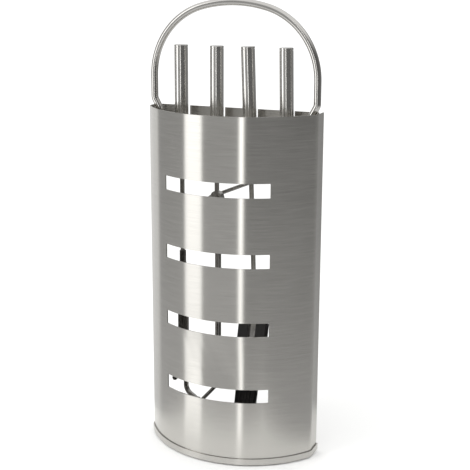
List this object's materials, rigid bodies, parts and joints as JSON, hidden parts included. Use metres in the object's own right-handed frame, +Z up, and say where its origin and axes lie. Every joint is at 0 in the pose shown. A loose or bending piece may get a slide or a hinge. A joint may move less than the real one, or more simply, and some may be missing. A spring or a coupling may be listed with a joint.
{
  "type": "fireplace companion set",
  "caption": "Free-standing brushed steel companion set: a bowed, slotted stand with a loop handle that holds fireside tools.",
  "frame": {"origin": "on the floor, under the middle of the stand's outer box", "axes": "+Z up, -Y out of the bowed front, +Y out of the open back, +X to the right of someone facing the front"},
  "size_m": [0.2636, 0.1063, 0.6697],
  "materials": {
    "black_block": "satin black",
    "black_plate": "black painted steel",
    "black_plug": "matt black",
    "bristles": "black synthetic bristles",
    "brushed_pan": "horizontal brushed grain",
    "brushed_rack": "horizontal brushed grain",
    "brushed_shell": "horizontal brushed grain",
    "dark_steel": "dark satin steel",
    "polished_grip": "satin polished stainless tube",
    "polished_rod": "polished stainless rod",
    "rubber_feet": "matt black rubber",
    "tool_steel": "bright steel"
  },
  "bodies": {
    "stand": {"ballast_plate": "black_plate", "base_pan": "brushed_pan", "base_screws": "tool_steel", "carry_handle": "polished_rod", "front_bracket": "tool_steel", "front_shell": "brushed_shell", "left_bracket": "tool_steel", "left_leg_collar": "tool_steel", "left_leg_nut": "tool_steel", "left_leg_washer": "tool_steel", "right_bracket": "tool_steel", "right_leg_collar": "tool_steel", "right_leg_nut": "tool_steel", "right_leg_washer": "tool_steel", "rubber_foot_1": "rubber_feet", "rubber_foot_2": "rubber_feet", "rubber_foot_3": "rubber_feet", "rubber_foot_4": "rubber_feet", "tool_rack": "brushed_rack"},
    "poker": {"poker_cap": "polished_grip", "poker_grip": "polished_grip", "poker_plug": "black_plug", "poker_point": "dark_steel", "poker_rod": "tool_steel"},
    "tongs": {"tongs_cap": "polished_grip", "tongs_fixed_leg": "tool_steel", "tongs_grip": "polished_grip", "tongs_plug": "black_plug", "tongs_rivet": "tool_steel"},
    "brush": {"brush_block": "black_block", "brush_bristles": "bristles", "brush_cap": "polished_grip", "brush_grip": "polished_grip", "brush_plug": "black_plug", "brush_rivets": "tool_steel", "brush_rod": "tool_steel"},
    "shovel": {"shovel_blade": "dark_steel", "shovel_cap": "polished_grip", "shovel_grip": "polished_grip", "shovel_plug": "black_plug", "shovel_rivets": "tool_steel", "shovel_rod": "tool_steel"},
    "tongs_jaw": {"tongs_moving_leg": "tool_steel", "tongs_lever": "tool_steel"}
  },
  "joints": [
    {"name": "poker_lift", "type": "slide", "parent": "stand", "child": "poker", "axis": [0, 0.4472, 0.8944], "range_m": [0, 0.25]},
    {"name": "tongs_lift", "type": "slide", "parent": "stand", "child": "tongs", "axis": [0, 0.4472, 0.8944], "range_m": [0, 0.25]},
    {"name": "brush_lift", "type": "slide", "parent": "stand", "child": "brush", "axis": [0, 0.4472, 0.8944], "range_m": [0, 0.25]},
    {"name": "shovel_lift", "type": "slide", "parent": "stand", "child": "shovel", "axis": [0, 0.4472, 0.8944], "range_m": [0, 0.25]},
    {"name": "tongs_open", "type": "hinge", "parent": "tongs", "child": "tongs_jaw", "pos_m": [-0.0255, 0.031, 0.383], "axis": [0.2079, 0.9781, 0], "range_deg": [0, 20]}
  ]
}
